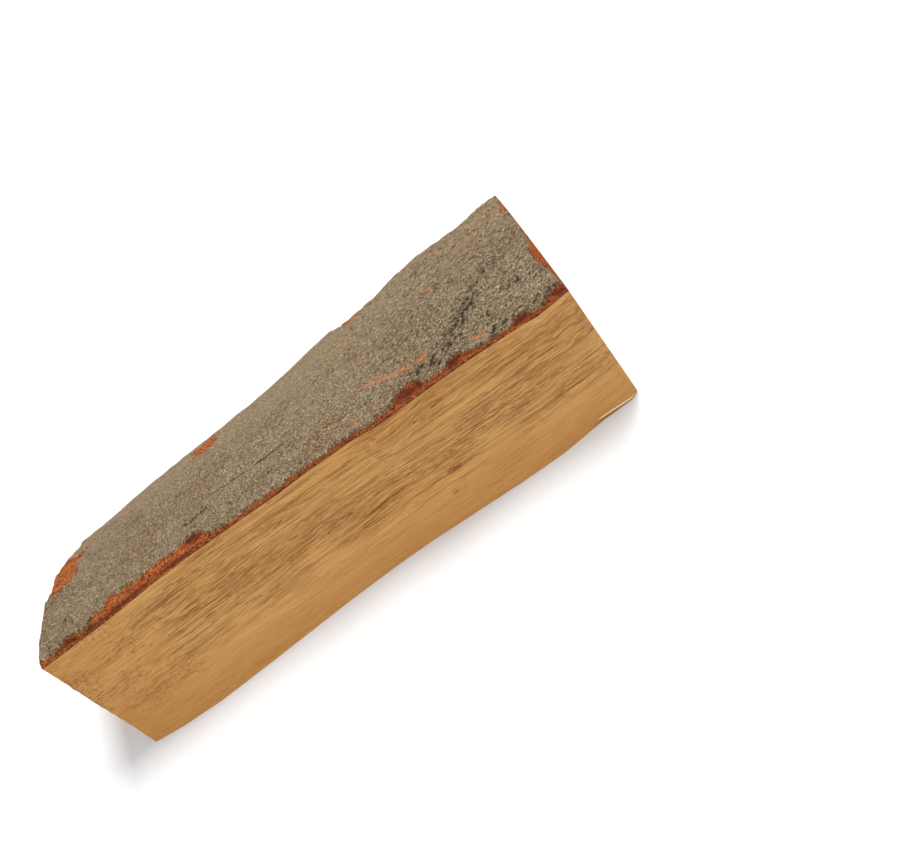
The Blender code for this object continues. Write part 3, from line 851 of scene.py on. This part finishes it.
class Sheet:
    """One material's nodes, written as expressions."""

    DRY_SHINE = 0.2

    def __init__(self, name: str) -> None:
        """Start an empty material with its output and shader.

        Args:
            name: the material's name.
        """
        self.material = bpy.data.materials.new(name)
        self.material.use_nodes = True
        self.nodes = self.material.node_tree.nodes
        self.links = self.material.node_tree.links
        self.shader = self.nodes["Principled BSDF"]

    def add(self, kind: str, settings: dict, values: dict, out: int | str = 0) -> Value:
        """Add any node.

        Args:
            kind: the node's type.
            settings: its own settings; "stops" are a ramp's places and colours.
            values: its sockets, by name or number, with numbers, colours or other values.
            out: the output wanted.

        Returns:
            That output.
        """
        node = self.nodes.new(kind)
        for name, setting in settings.items():
            if name == "stops":
                self._set_stops(node, setting)
            else:
                setattr(node, name, setting)
        for key, value in values.items():
            self.feed(node.inputs[key], value)
        return Value(self, node.outputs[out])

    @staticmethod
    def _set_stops(node: bpy.types.Node, stops: list[tuple[float, Colour]]) -> None:
        """Set a ramp's places and colours.

        Args:
            node: the ramp's node.
            stops: its places and colours.
        """
        elements = node.color_ramp.elements
        while len(elements) < len(stops):
            elements.new(0.5)
        for element, (place, colour) in zip(elements, stops):
            element.position = place
            element.color = (*colour, 1.0)

    def feed(self, socket: bpy.types.NodeSocket, value: "Value | float | tuple") -> None:
        """Link a value into a socket, or set the socket.

        Args:
            socket: the socket to feed.
            value: what it gets.
        """
        if isinstance(value, Value):
            self.links.new(value.socket, socket)
        elif isinstance(value, tuple) and len(value) == 3 and len(socket.default_value) == 4:
            socket.default_value = (*value, 1.0)
        else:
            socket.default_value = value

    def place(self) -> Value:
        """The place on the object, in metres."""
        return self.add("ShaderNodeTexCoord", {}, {}, "Object")

    def part(self, vector: Value, axis: str) -> Value:
        """One coordinate of a vector."""
        return self.add("ShaderNodeSeparateXYZ", {}, {0: vector}, axis)

    def noise(self, vector: Value, detail: float = 2.0, roughness: float = 0.5) -> Value:
        """Irregular values about 0.5, one knot a unit of the vector."""
        values = {"Vector": vector, "Scale": 1.0, "Detail": detail, "Roughness": roughness}
        return self.add("ShaderNodeTexNoise", {}, values)

    def net(self, place: Value, per_metre: Triple, detail: float = 2.0, roughness: float = 0.5,
            shift: Triple = (0.0, 0.0, 0.0)) -> Value:
        """Irregular values about 0.5 with so many knots a metre along each axis.

        Args:
            place: the place, in metres.
            per_metre: knots a metre along each axis.
            detail: how many finer nets are added.
            roughness: how strong each finer net is beside the last.
            shift: moves the net, in knots.

        Returns:
            The values.
        """
        settings = {"operation": "MULTIPLY_ADD"}
        knots = self.add("ShaderNodeVectorMath", settings, {0: place, 1: per_metre, 2: shift})
        return self.noise(knots, detail, roughness)

    def vector(self, x: "Value | float", y: "Value | float", z: "Value | float") -> Value:
        """A vector from its three coordinates."""
        return self.add("ShaderNodeCombineXYZ", {}, {0: x, 1: y, 2: z})

    def attribute(self, name: str) -> Value:
        """A number kept on the mesh's vertices."""
        return self.add("ShaderNodeAttribute", {"attribute_name": name}, {}, "Fac")

    def mix(self, first: "Value | Colour", second: "Value | Colour", factor: "Value | float") -> Value:
        """A colour between two."""
        return self.add("ShaderNodeMix", {"data_type": "RGBA"}, {0: factor, 6: first, 7: second}, 2)

    def lay(self, colour: "Value | Colour", *layers: tuple["Value | Colour", "Value | float"]) -> Value:
        """A colour with others laid on it in turn, each as strong as the factor beside it.

        Args:
            colour: the lowest colour.
            layers: the others, each with its factor.

        Returns:
            The colour on top.
        """
        for over, factor in layers:
            colour = self.mix(colour, over, factor)
        return colour

    def ramp(self, value: Value, stops: list[tuple[float, Colour]]) -> Value:
        """A colour picked by a value."""
        return self.add("ShaderNodeValToRGB", {"stops": stops}, {"Fac": value})

    def stroke(self, along: Value, across: Value, line: tuple[float, ...]) -> Value:
        """1 on a thin line that tapers to its tips: the distance across it eased down, times both tips' fade.

        Args:
            along: place along the log in metres, with its own waver if wanted.
            across: place across the grain in metres.
            line: start, its across, end, its across and half width in millimetres, and strength.

        Returns:
            The mask.
        """
        start, low, end, high, width, strength = line
        share = (along - start * MM) * (1.0 / ((end - start) * MM))
        off = (across - share * ((high - low) * MM) - low * MM).size()
        taper = share.ease(0.0, 0.2) * share.ease(1.0, 0.8)
        return off.ease(width * MM, 0.3 * width * MM) * taper * strength

    def strokes(self, along: Value, across: Value, lines: Points) -> Value:
        """The strongest of several thin lines.

        Args:
            along: place along the log in metres.
            across: place across the grain in metres.
            lines: the lines, each as a stroke takes it.

        Returns:
            The mask.
        """
        total = self.stroke(along, across, lines[0])
        for line in lines[1:]:
            total = total.most(self.stroke(along, across, line))
        return total

    def blot(self, along: Value, across: Value, centre: Pair, half: Pair) -> Value:
        """1 in the middle of a soft oval, 0 at its edge: the distance in half sizes eased down.

        Args:
            along: place along the log in metres.
            across: place across the grain in metres.
            centre: the oval's middle in millimetres.
            half: its half sizes in millimetres.

        Returns:
            The mask.
        """
        off_along = (along - centre[0] * MM) * (1.0 / (half[0] * MM))
        off_across = (across - centre[1] * MM) * (1.0 / (half[1] * MM))
        return (off_along * off_along + off_across * off_across).ease(1.0, 0.0)

    def finish(self, colour: Value, roughness: "Value | float", height: Value) -> bpy.types.Material:
        """Feed the shader its colour, roughness and fine relief, whose height is in millimetres.

        Args:
            colour: the base colour.
            roughness: how rough the surface is.
            height: the fine relief.

        Returns:
            The material.
        """
        bump = self.add("ShaderNodeBump", {}, {"Strength": 1.0, "Distance": MM, "Height": height})
        shine = ("Specular IOR Level", self.DRY_SHINE)
        for name, value in (("Base Color", colour), ("Roughness", roughness), ("Normal", bump), shine):
            self.feed(self.shader.inputs[name], value)
        return self.material


def srgb(red: float, green: float, blue: float) -> Colour:
    """A colour as a screen gives it, 11 to 255, in the shader's linear numbers."""
    return tuple(((c / 255.0 + 0.055) / 1.055) ** 2.4 for c in (red, green, blue))


@dataclass(frozen=True)
class SplitWoodFinish:
    """Riven wood: tan with fine brown streaks along the grain, and ringed end grain."""

    form: LogForm
    pale: Colour = srgb(204, 156, 93)
    tan: Colour = srgb(182, 131, 69)
    warm: Colour = srgb(170, 112, 52)
    streak: Colour = srgb(136, 78, 24)
    dark: Colour = srgb(104, 56, 14)
    rust: Colour = srgb(128, 62, 20)
    smudge: Colour = srgb(142, 112, 84)
    highlight_pale: Colour = srgb(252, 228, 192)
    end_pale: Colour = srgb(188, 140, 84)
    end_warm: Colour = srgb(166, 100, 42)
    ring_width: float = 2.3 * MM
    # Painted highlight along the splinter at the foot of the right end, and painted shade in a strip just below
    # it.
    splinter: Points = ((302, 4.1, 329.5, 1.3, 0.8, 1.0),)
    splinter_shade: Points = ((300, 1.9, 329, -0.6, 1.2, 0.9),)

    def build(self) -> bpy.types.Material:
        """Lay streaks, dashes and stains on the faces, rings and rays on the ends.

        Returns:
            The material.
        """
        sheet = Sheet("split_wood")
        place = sheet.place()
        colour, height = self.face(sheet, place)
        end_colour, end_height = self.end(sheet, place)
        normal = sheet.add("ShaderNodeNewGeometry", {}, {}, "True Normal")
        on_end = sheet.part(normal, "X").size().ease(0.6, 0.75)
        both = sheet.mix(colour, end_colour, on_end)
        relief = height * (1.0 - on_end) + end_height * on_end
        return sheet.finish(both, 0.72, relief)

    def face(self, sheet: Sheet, place: Value) -> tuple[Value, Value]:
        """Colour and fine height of the split faces.

        Args:
            sheet: the material's nodes.
            place: the place on the object, in metres.

        Returns:
            The colour, and the height in millimetres.
        """
        along = sheet.part(place, "X") + 0.5 * self.form.length
        across = sheet.part(place, "Z") * FACE_PER_HEIGHT
        on_front = sheet.part(place, "Y").ease(0.0, -0.015)
        waver = sheet.net(place, (22.0, 40.0, 40.0))
        bend = sheet.net(place, (110.0, 60.0, 60.0), shift=(5.0, 5.0, 5.0))
        lift = sheet.vector(0.0, 0.0, waver * (9.0 * MM) + bend * (1.6 * MM))
        bent = sheet.add("ShaderNodeVectorMath", {"operation": "ADD"}, {0: place, 1: lift})
        broad = sheet.net(place, (9.0, 34.0, 34.0), 3.0, 0.55)
        streak = sheet.net(bent, (13.0, 430.0, 430.0), 2.0, 0.55, shift=(3.0, 1.0, 2.0))
        thread = sheet.net(bent, (26.0, 1250.0, 1250.0), 2.0, 0.55, shift=(8.0, 3.0, 6.0))
        fine = sheet.net(bent, (30.0, 1350.0, 1350.0), 3.0, 0.62, shift=(1.0, 5.0, 2.0))
        dash = sheet.net(bent, (110.0, 1300.0, 1300.0), 2.0, 0.55, shift=(7.0, 2.0, 9.0))
        zone = sheet.net(place, (20.0, 45.0, 45.0), 1.0, shift=(2.0, 8.0, 4.0))
        upper = across.ease(20 * MM, 48 * MM) * 0.75 + 0.25
        left = along.ease(75 * MM, 40 * MM)
        streaks = streak.ease(0.54, 0.66) * upper * (1.0 - 0.6 * left)
        threads = thread.ease(0.54, 0.585) * upper * zone.ease(0.3, 0.55) * (1.0 - 0.5 * left)
        dashes = dash.ease(0.57, 0.61) * upper * zone.ease(0.35, 0.6)
        flecks = self.flecks(sheet, place, left * across.ease(12 * MM, 40 * MM))
        marks = (sheet.attribute("mark_off") + (fine - 0.5) * 1.0).size().ease(0.95, 0.45)
        marks = marks * sheet.attribute("mark_force")
        wavy = across + (bend - 0.5) * (6.0 * MM)
        knot = sheet.blot(along, wavy, (228, 43), (7, 3.6)) * on_front
        spot = sheet.blot(along, wavy, (220, 27), (5, 3)) * on_front * 0.6
        knot = knot.most(spot) * sheet.net(place, (260.0, 700.0, 700.0), 3.0, 0.7).ease(0.38, 0.56)
        smudge = sheet.blot(along, across, (243, 59), (10, 3))
        for centre, half in (((243, 44), (9, 3)), ((67, 55), (6, 3))):
            smudge = smudge.most(sheet.blot(along, across, centre, half))
        smudge = smudge * on_front * broad.ease(0.3, 0.6)
        burr = sheet.net(place, (300.0, 700.0, 700.0), shift=(3.0, 3.0, 3.0)).ease(0.5, 0.6)
        rim = along.ease(3.2 * MM, 1.4 * MM) * across.ease(46 * MM, 56 * MM) * across.ease(102 * MM, 92 * MM)
        # Painted highlight on the splinter, and painted shade below it.
        highlight_line = sheet.strokes(along, across, self.splinter) * on_front
        shaded = sheet.strokes(along, across, self.splinter_shade) * on_front
        colour = sheet.lay(
            sheet.mix(self.tan, self.pale, fine.ease(0.38, 0.6)),
            (self.warm, broad.ease(0.45, 0.75) * 0.4),
            (self.warm, along.ease(70 * MM, 0.0) * 0.2 + across.ease(45 * MM, 10 * MM) * 0.45),
            (self.streak, streaks * 0.06),
            (self.streak, (threads * 0.42).most(dashes * 0.62).most(flecks * 0.6)),
            (self.dark, marks * 0.8),
            (self.smudge, smudge * 0.5),
            (self.rust, knot * 0.9),
            (self.dark, burr * rim * 0.8),
            # Painted shade below the splinter, then its painted highlight.
            (self.streak, shaded * 0.8),
            (self.highlight_pale, highlight_line),
        )
        height = fine * 0.1 + streak * 0.02 - threads * 0.1 - dashes * 0.12 - marks * 0.15 - flecks * 0.06
        return colour, height + highlight_line * 0.3

    def flecks(self, sheet: Sheet, place: Value, zone: Value) -> Value:
        """Small brown dots and short dashes along and across the grain, near the left end.

        Args:
            sheet: the material's nodes.
            place: the place on the object, in metres.
            zone: where they may lie.

        Returns:
            The mask.
        """
        dots = sheet.net(place, (520.0, 560.0, 560.0), 2.0, 0.6, shift=(1.0, 7.0, 1.0)).ease(0.57, 0.64)
        rays = sheet.net(place, (900.0, 330.0, 330.0), 1.0, shift=(6.0, 6.0, 2.0)).ease(0.6, 0.68)
        short = sheet.net(place, (190.0, 900.0, 900.0), 1.0, shift=(2.0, 3.0, 2.0)).ease(0.61, 0.7)
        patch = sheet.net(place, (50.0, 60.0, 60.0), shift=(9.0, 1.0, 3.0)).ease(0.38, 0.55)
        return dots.most(rays).most(short) * patch * zone

    def end(self, sheet: Sheet, place: Value) -> tuple[Value, Value]:
        """Colour and fine height of the sawn ends: rings round the pith, rays out from it.

        Args:
            sheet: the material's nodes.
            place: the place on the object, in metres.

        Returns:
            The colour, and the height in millimetres.
        """
        pith_y, pith_z = self.form.pith
        off_y = sheet.part(place, "Y") - (pith_y - self.form.middle_y)
        off_z = sheet.part(place, "Z") - pith_z
        radius = (off_y * off_y + off_z * off_z) ** 0.5
        waver = sheet.net(place, (0.0, 22.0, 22.0)) * (3.0 * MM)
        ring = ((radius + waver) * (math.tau / self.ring_width)).wave()
        band = sheet.noise(sheet.vector((radius + waver) * 240.0, 0.0, 0.0), 1.0)
        ring = ring.ease(0.2, 1.0) * band.ease(0.3, 0.7)
        turn = sheet.add("ShaderNodeMath", {"operation": "ARCTAN2"}, {0: off_z, 1: off_y})
        ray = sheet.noise(sheet.vector(turn * 260.0, radius * 26.0, 0.0), 1.0).ease(0.58, 0.72)
        blotch = sheet.net(place, (0.0, 34.0, 34.0), 3.0, shift=(4.0, 4.0, 4.0))
        saw = sheet.net(place, (0.0, 900.0, 90.0))
        inner = radius.ease(0.15, 0.06)
        colour = sheet.lay(
            self.end_pale,
            (self.end_warm, inner * 0.6 + blotch.ease(0.45, 0.7) * 0.4),
            (self.streak, ring * 0.4),
            (self.pale, ray * 0.35),
        )
        return colour, 0.06 * ring + 0.12 * saw


@dataclass(frozen=True)
class BarkFinish:
    """Dry grey-brown bark, fibrous and pitted, over granular orange inner bark."""

    grey: Colour = srgb(118, 102, 79)
    brown: Colour = srgb(108, 84, 57)
    dark: Colour = srgb(42, 33, 23)
    light: Colour = srgb(190, 170, 138)
    tan: Colour = srgb(138, 115, 85)
    orange: Colour = srgb(160, 86, 42)
    bright: Colour = srgb(220, 132, 76)
    deep: Colour = srgb(82, 28, 12)
    pink: Colour = srgb(160, 96, 66)
    bare: Colour = srgb(190, 152, 102)
    cracks: Points = (
        (112, 25.4, 148, 24.6, 0.5, 0.7), (147.5, 25.2, 170, 23.5, 0.6, 1.0), (102, 16, 116, 18.4, 0.5, 0.6),
        (100, 17.4, 108, 15.2, 0.8, 0.8), (73, 16.6, 86, 14.3, 0.4, 0.7), (53, 23.5, 58, 19.5, 0.7, 0.5),
    )
    scratch: Points = ((312, 72, 328, 92, 0.8, 0.8), (306, 64, 313, 72, 0.6, 0.5))

    def build(self) -> bpy.types.Material:
        """Mix skin, painted shade in the hollows, scuffs and torn inner bark by the masks on the mesh.

        Returns:
            The material.
        """
        sheet = Sheet("bark")
        place = sheet.place()
        along = sheet.part(place, "X") + 0.5 * LogForm.length
        arc = sheet.attribute("arc")
        flat = sheet.vector(along + arc * FIBRE_SKEW, arc - along * FIBRE_SKEW, sheet.part(place, "Z") * 0.3)
        # The hollow mask is painted shade in the pits, creases, fissures and recesses.
        hollow = sheet.attribute("hollow")
        rough = along.ease(190 * MM, 285 * MM)
        patch = sheet.net(flat, (26.0, 44.0, 30.0), 3.0, 0.6)
        patch_two = sheet.net(flat, (60.0, 110.0, 30.0), 3.0, 0.6, shift=(5.0, 3.0, 1.0))
        fibre = sheet.net(flat, (210.0, 720.0, 500.0), 3.0, 0.7, shift=(1.0, 2.0, 3.0))
        grain = sheet.net(flat, (900.0, 1350.0, 900.0), 3.0, 0.7, shift=(4.0, 2.0, 6.0))
        speck = sheet.net(flat, (420.0, 1350.0, 800.0), 2.0, 0.6, shift=(7.0, 4.0, 2.0))
        skin = (sheet.attribute("skin") + (grain - 0.5) * 0.5).ease(0.42, 0.6)
        cracks = sheet.strokes(along, arc + (fibre - 0.5) * (3.0 * MM), self.cracks) * patch_two.ease(0.3, 0.42)
        colour = sheet.lay(
            self.grey,
            (self.brown, patch.ease(0.42, 0.66) * 0.75),
            (self.tan, arc.ease(58 * MM, 84 * MM) * 0.6 + patch_two.ease(0.5, 0.7) * 0.4),
            (self.dark, fibre.ease(0.48, 0.36) * (0.45 + 0.4 * rough)),
            (self.dark, grain.ease(0.48, 0.36) * 0.85),
            (self.light, grain.ease(0.53, 0.65) * 0.8 + speck.ease(0.55, 0.66) * (0.2 + 0.2 * rough)),
            (self.dark, speck.ease(0.43, 0.34) * (0.4 + 0.4 * rough)),
            # Painted shade in the hollows, and the dark cracks.
            (self.dark, hollow.most(cracks)),
            (self.light, sheet.strokes(along, arc, self.scratch) * 0.5),
            (sheet.mix(self.pink, self.bright, grain.ease(0.5, 0.68)), sheet.attribute("scuff") * 0.85),
        )
        crumb = sheet.net(place, (850.0, 850.0, 850.0), 3.0, 0.7, shift=(9.0, 1.0, 5.0))
        stained = along.ease(105 * MM, 150 * MM) * arc.ease(60 * MM, 20 * MM) * 0.34
        crumbs = [(0.36, self.deep), (0.46, self.orange), (0.54, self.orange), (0.66, self.bright)]
        torn = sheet.lay(
            sheet.ramp(crumb, crumbs),
            (self.bare, sheet.blot(along, arc, (274, 132), (14, 18)) * 0.7),
            # Painted shade in the recesses and low grains of the torn band, with the deep colour of the stained
            # mask.
            (self.deep, (hollow * 0.9).most(stained)),
        )
        both = sheet.mix(torn, colour, skin)
        fibres = (fibre * 1.1 + speck * 0.6) * (0.45 + 0.4 * rough)
        height = (fibres + grain * 0.7 - cracks * 0.8) * skin + crumb * (1.0 - skin) * 1.8
        return sheet.finish(both, 0.9, height)


@dataclass(frozen=True)
class FloorFinish:
    """Plain pale matt floor."""

    white: Colour = (0.86, 0.86, 0.86)

    def build(self) -> bpy.types.Material:
        """A flat pale colour.

        Returns:
            The material.
        """
        sheet = Sheet("floor")
        sheet.feed(sheet.shader.inputs["Base Color"], self.white)
        sheet.feed(sheet.shader.inputs["Roughness"], 0.9)
        return sheet.material


class Softness(enum.Enum):
    """How wide a studio light is, in metres."""

    WIDE = 1.6
    SMALL = 0.35


@dataclass
class Studio:
    """Floor, soft lights and the camera over the log."""

    lens: float = 74.07
    sensor: float = 36.0
    camera_place: Triple = (147.4 * MM, -249.96 * MM, 993.6 * MM)
    camera_ahead: Triple = (-0.07718, 0.22248, -0.97188)
    camera_up: Triple = (0.58489, 0.79953, 0.13658)
    floor_size: float = 12.0
    floor_drop: float = 0.1 * MM

    def build(self) -> None:
        """Set the floor, the lights, the world and the camera."""
        self.floor()
        self.light("key_light", (0.3, 0.75, 1.4), 27.0, Softness.SMALL)
        self.light("front_light", (-0.35, -1.5, 0.9), 13.0, Softness.WIDE)
        self.world(0.5)
        self.camera()
        bpy.context.scene.view_settings.view_transform = "Standard"

    def floor(self) -> None:
        """A wide flat sheet just under the log."""
        half = 0.5 * self.floor_size
        corners = np.array([(-half, -half), (half, -half), (half, half), (-half, half)])
        mesh = bpy.data.meshes.new("floor")
        mesh.from_pydata([(x, y, -self.floor_drop) for x, y in corners], [], [(0, 1, 2, 3)])
        floor = bpy.data.objects.new("floor", mesh)
        floor.data.materials.append(FloorFinish().build())
        bpy.context.scene.collection.objects.link(floor)

    def light(self, name: str, place: Triple, watts: float, softness: Softness) -> None:
        """A square soft light aimed at the log.

        Args:
            name: the light's name.
            place: where it hangs.
            watts: its power.
            softness: how wide it is.
        """
        data = bpy.data.lights.new(name, "AREA")
        data.energy = watts
        data.size = softness.value
        lamp = bpy.data.objects.new(name, data)
        lamp.location = place
        lamp.rotation_euler = (-Vector(place)).to_track_quat("-Z", "Y").to_euler()
        bpy.context.scene.collection.objects.link(lamp)

    def world(self, strength: float) -> None:
        """Even white light from all round.

        Args:
            strength: how strong it is.
        """
        world = bpy.data.worlds.new("studio")
        world.use_nodes = True
        sky = world.node_tree.nodes["Background"].inputs
        sky["Color"].default_value = (1.0, 1.0, 1.0, 1.0)
        sky["Strength"].default_value = strength
        bpy.context.scene.world = world

    def camera(self) -> None:
        """A camera that looks down on the log, turned so that the log leans across the frame."""
        data = bpy.data.cameras.new("camera")
        data.lens = self.lens
        data.sensor_width = self.sensor
        camera = bpy.data.objects.new("camera", data)
        ahead = Vector(self.camera_ahead).normalized()
        right = ahead.cross(Vector(self.camera_up)).normalized()
        up = right.cross(ahead)
        turn = Matrix((right, up, -ahead)).transposed()
        camera.matrix_world = Matrix.Translation(self.camera_place) @ turn.to_4x4()
        bpy.context.scene.collection.objects.link(camera)
        bpy.context.scene.camera = camera


def dress(piece: bpy.types.Object, material: bpy.types.Material, node: str) -> None:
    """Give a piece its finish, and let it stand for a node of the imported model.

    Args:
        piece: the finished piece.
        material: its finish.
        node: the node it stands for.
    """
    piece.data.materials.clear()
    piece.data.materials.append(material)
    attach(piece, "root")
    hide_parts(node)
    LOG.info("%s stands for %s: %d faces", piece.name, node, len(piece.data.polygons))


def main() -> None:
    """Load the frame, build the wood, the bark and the studio."""
    logging.basicConfig(level=logging.INFO, format="%(message)s")
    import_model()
    form = LogForm()
    dress(Billet(form).build(), SplitWoodFinish(form).build(), "wood")
    dress(BarkLayer(form).build(), BarkFinish().build(), "bark")
    Studio().build()


if __name__ == "__main__":
    main()
